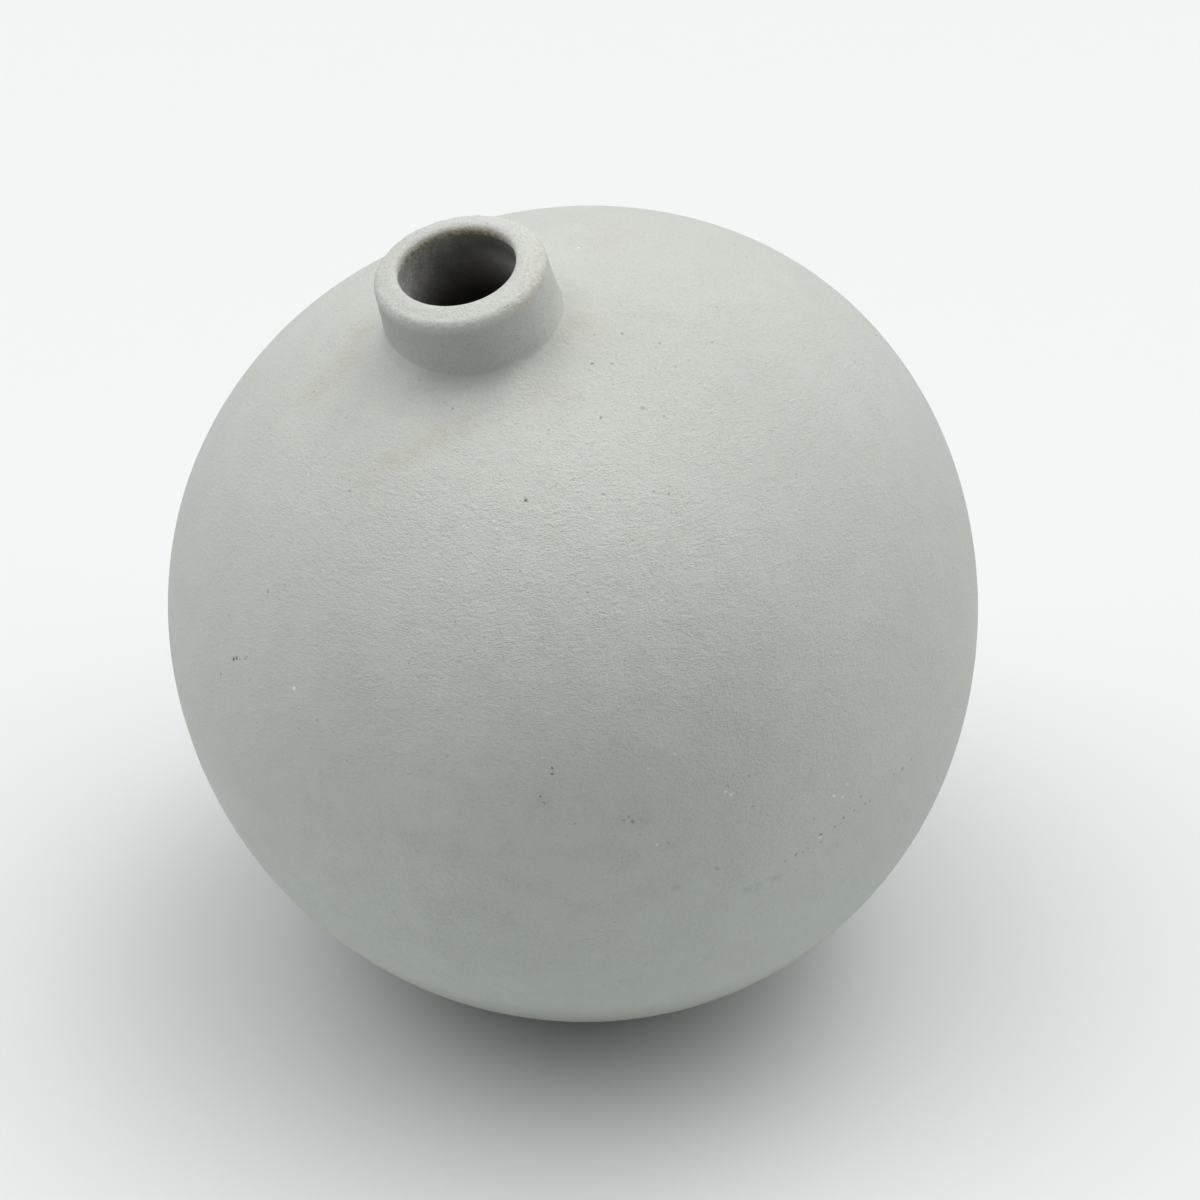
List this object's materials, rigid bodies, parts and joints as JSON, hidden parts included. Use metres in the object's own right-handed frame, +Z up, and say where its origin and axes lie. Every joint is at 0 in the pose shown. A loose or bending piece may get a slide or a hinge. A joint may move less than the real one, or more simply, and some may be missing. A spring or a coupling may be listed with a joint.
{
  "type": "ball vase",
  "caption": "Hollow stoneware ball vase on a small flat foot, with a short tilted neck to one side of the crown for single stems and dried flowers.",
  "frame": {"origin": "middle of the foot ring, on the surface that the vase stands on", "axes": "+Z up, the neck leans towards -Y, X across the lean"},
  "size_m": [0.1999, 0.1998, 0.2022],
  "materials": {
    "shell_clay": "matte, sandy, pale warm grey",
    "neck_clay": "matte, sandy, pale warm grey, worn at the lip",
    "slip": "matte fired slip",
    "liner_glaze": "satin dark lining glaze"
  },
  "bodies": {
    "root": {"lower_shell": "shell_clay", "upper_shell": "shell_clay", "neck_collar": "neck_clay", "seam_slip_ring": "slip", "neck_slip_fillet": "slip", "glaze_liner": "liner_glaze"}
  },
  "joints": []
}
